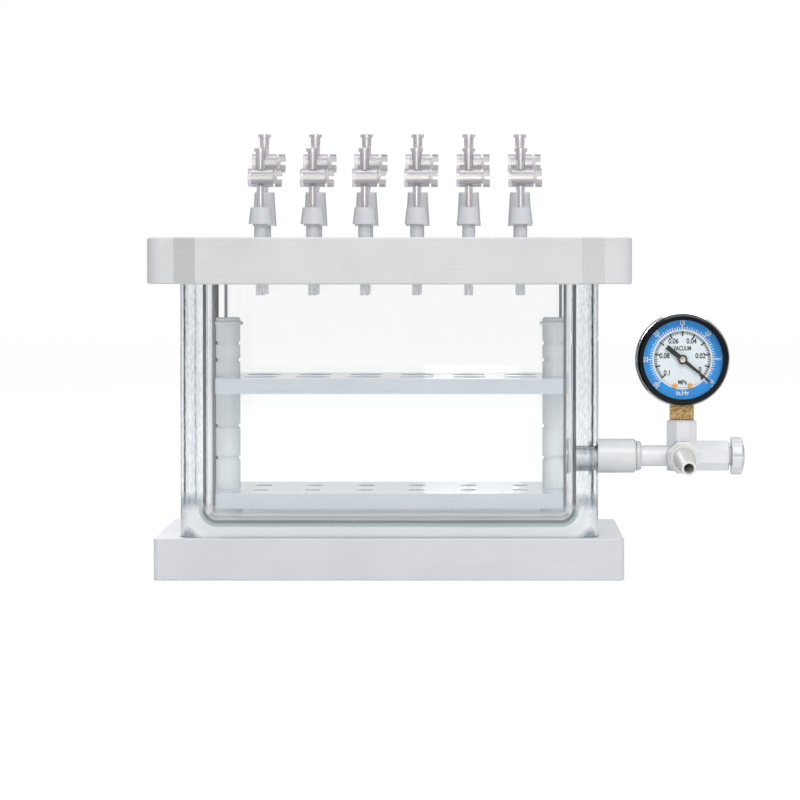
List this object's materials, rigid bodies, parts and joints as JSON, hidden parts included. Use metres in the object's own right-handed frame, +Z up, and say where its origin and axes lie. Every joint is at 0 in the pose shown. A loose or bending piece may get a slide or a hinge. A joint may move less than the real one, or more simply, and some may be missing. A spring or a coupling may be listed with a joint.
{
  "type": "solid phase extraction vacuum manifold",
  "caption": "Bench vacuum manifold: thick glass tank on a plastic base, lid with two rows of Luer stopcocks, sliding tube rack inside, dial gauge and bleed valve at the side.",
  "frame": {"origin": "centre of the base tray's underside", "axes": "+Z up, +X towards the gauge along the tank's length, -Y towards the front with the short fittings"},
  "size_m": [0.362, 0.132, 0.2675],
  "materials": {
    "base_plastic": "satin",
    "tank_glass": "polished",
    "lid_plastic": "milled",
    "gasket_rubber": "matte",
    "fitting_plastic": "satin",
    "stopcock_clear": "glossy",
    "stopcock_plug": "glossy",
    "rack_plastic": "milled",
    "post_plastic": "turned",
    "ring_plastic": "satin",
    "adaptor_plastic": "satin",
    "seal_rubber": "matte",
    "collet_plastic": "glossy",
    "tube_plastic": "satin",
    "cross_plastic": "satin",
    "barb_plastic": "satin",
    "socket_brass": "rough machined",
    "case_chrome": "polished",
    "bezel_black": "glossy",
    "window_glass": "polished",
    "dial_print": "printed",
    "needle_paint": "satin",
    "screw_brass": "polished",
    "tube_brass": "drawn",
    "movement_brass": "stamped",
    "knob_plastic": "satin"
  },
  "bodies": {
    "base": {"base_tray": "base_plastic", "glass_tank": "tank_glass", "port_adaptor": "adaptor_plastic", "port_nut": "adaptor_plastic", "port_seal": "seal_rubber", "adaptor_collet": "collet_plastic", "connecting_tube": "tube_plastic", "valve_cross": "cross_plastic", "hose_barb": "barb_plastic", "gauge_socket": "socket_brass", "gauge_case": "case_chrome", "gauge_bezel": "bezel_black", "gauge_window": "window_glass", "gauge_dial": "dial_print", "dial_screws": "screw_brass", "bourdon_tube": "tube_brass", "gauge_movement": "movement_brass"},
    "lid": {"lid": "lid_plastic", "lid_gasket": "gasket_rubber", "short_fittings": "fitting_plastic", "tall_fittings": "fitting_plastic", "stopcock_body_01": "stopcock_clear", "stopcock_body_02": "stopcock_clear", "stopcock_body_03": "stopcock_clear", "stopcock_body_04": "stopcock_clear", "stopcock_body_05": "stopcock_clear", "stopcock_body_06": "stopcock_clear", "stopcock_body_07": "stopcock_clear", "stopcock_body_08": "stopcock_clear", "stopcock_body_09": "stopcock_clear", "stopcock_body_10": "stopcock_clear", "stopcock_body_11": "stopcock_clear", "stopcock_body_12": "stopcock_clear"},
    "rack": {"rack_bottom_plate": "rack_plastic", "post_left": "post_plastic", "post_right": "post_plastic", "foot_left": "post_plastic", "foot_right": "post_plastic", "support_rings": "ring_plastic", "stop_rings": "ring_plastic"},
    "middle_plate": {"rack_middle_plate": "rack_plastic"},
    "needle": {"gauge_needle": "needle_paint"},
    "stem_seal": {"stem_seal": "seal_rubber"},
    "bleed_valve": {"bleed_valve": "knob_plastic"},
    "plug_01": {"stopcock_plug_01": "stopcock_plug"},
    "plug_02": {"stopcock_plug_02": "stopcock_plug"},
    "plug_03": {"stopcock_plug_03": "stopcock_plug"},
    "plug_04": {"stopcock_plug_04": "stopcock_plug"},
    "plug_05": {"stopcock_plug_05": "stopcock_plug"},
    "plug_06": {"stopcock_plug_06": "stopcock_plug"},
    "plug_07": {"stopcock_plug_07": "stopcock_plug"},
    "plug_08": {"stopcock_plug_08": "stopcock_plug"},
    "plug_09": {"stopcock_plug_09": "stopcock_plug"},
    "plug_10": {"stopcock_plug_10": "stopcock_plug"},
    "plug_11": {"stopcock_plug_11": "stopcock_plug"},
    "plug_12": {"stopcock_plug_12": "stopcock_plug"}
  },
  "joints": [
    {"name": "lid_lift", "type": "slide", "parent": "base", "child": "lid", "axis": [0, 0, 1], "range_m": [0, 0.12]},
    {"name": "rack_lift", "type": "slide", "parent": "base", "child": "rack", "axis": [0, 0, 1], "range_m": [0, 0.008]},
    {"name": "middle_plate_slide", "type": "slide", "parent": "rack", "child": "middle_plate", "axis": [0, 0, 1], "range_m": [0, 0.03]},
    {"name": "needle_turn", "type": "hinge", "parent": "base", "child": "needle", "pos_m": [0.1782, -0.0056, 0.1292], "axis": [0, -1, 0], "range_deg": [0, 256], "stiffness_Nm_per_rad": 0.0005},
    {"name": "bleed_travel", "type": "slide", "parent": "base", "child": "stem_seal", "axis": [1, 0, 0], "range_m": [0, 0.0021]},
    {"name": "bleed_turn", "type": "hinge", "parent": "stem_seal", "child": "bleed_valve", "pos_m": [0.212, 0, 0.0698], "axis": [1, 0, 0], "range_deg": [0, 720]},
    {"name": "plug_turn_01", "type": "hinge", "parent": "lid", "child": "plug_01", "pos_m": [-0.079, -0.01715, 0.2401], "axis": [1, 0, 0], "range_deg": [0, 90]},
    {"name": "plug_turn_02", "type": "hinge", "parent": "lid", "child": "plug_02", "pos_m": [-0.0474, -0.01715, 0.2401], "axis": [1, 0, 0], "range_deg": [0, 90]},
    {"name": "plug_turn_03", "type": "hinge", "parent": "lid", "child": "plug_03", "pos_m": [-0.0158, -0.01715, 0.2401], "axis": [1, 0, 0], "range_deg": [0, 90]},
    {"name": "plug_turn_04", "type": "hinge", "parent": "lid", "child": "plug_04", "pos_m": [0.0158, -0.01715, 0.2401], "axis": [1, 0, 0], "range_deg": [0, 90]},
    {"name": "plug_turn_05", "type": "hinge", "parent": "lid", "child": "plug_05", "pos_m": [0.0474, -0.01715, 0.2401], "axis": [1, 0, 0], "range_deg": [0, 90]},
    {"name": "plug_turn_06", "type": "hinge", "parent": "lid", "child": "plug_06", "pos_m": [0.079, -0.01715, 0.2401], "axis": [1, 0, 0], "range_deg": [0, 90]},
    {"name": "plug_turn_07", "type": "hinge", "parent": "lid", "child": "plug_07", "pos_m": [-0.079, 0.01715, 0.2497], "axis": [1, 0, 0], "range_deg": [0, 90]},
    {"name": "plug_turn_08", "type": "hinge", "parent": "lid", "child": "plug_08", "pos_m": [-0.0474, 0.01715, 0.2497], "axis": [1, 0, 0], "range_deg": [0, 90]},
    {"name": "plug_turn_09", "type": "hinge", "parent": "lid", "child": "plug_09", "pos_m": [-0.0158, 0.01715, 0.2497], "axis": [1, 0, 0], "range_deg": [0, 90]},
    {"name": "plug_turn_10", "type": "hinge", "parent": "lid", "child": "plug_10", "pos_m": [0.0158, 0.01715, 0.2497], "axis": [1, 0, 0], "range_deg": [0, 90]},
    {"name": "plug_turn_11", "type": "hinge", "parent": "lid", "child": "plug_11", "pos_m": [0.0474, 0.01715, 0.2497], "axis": [1, 0, 0], "range_deg": [0, 90]},
    {"name": "plug_turn_12", "type": "hinge", "parent": "lid", "child": "plug_12", "pos_m": [0.079, 0.01715, 0.2497], "axis": [1, 0, 0], "range_deg": [0, 90]}
  ],
  "couplings": [
    {"joint": "bleed_travel", "follows": "bleed_turn", "m_per_rad": 0.00015915}
  ]
}
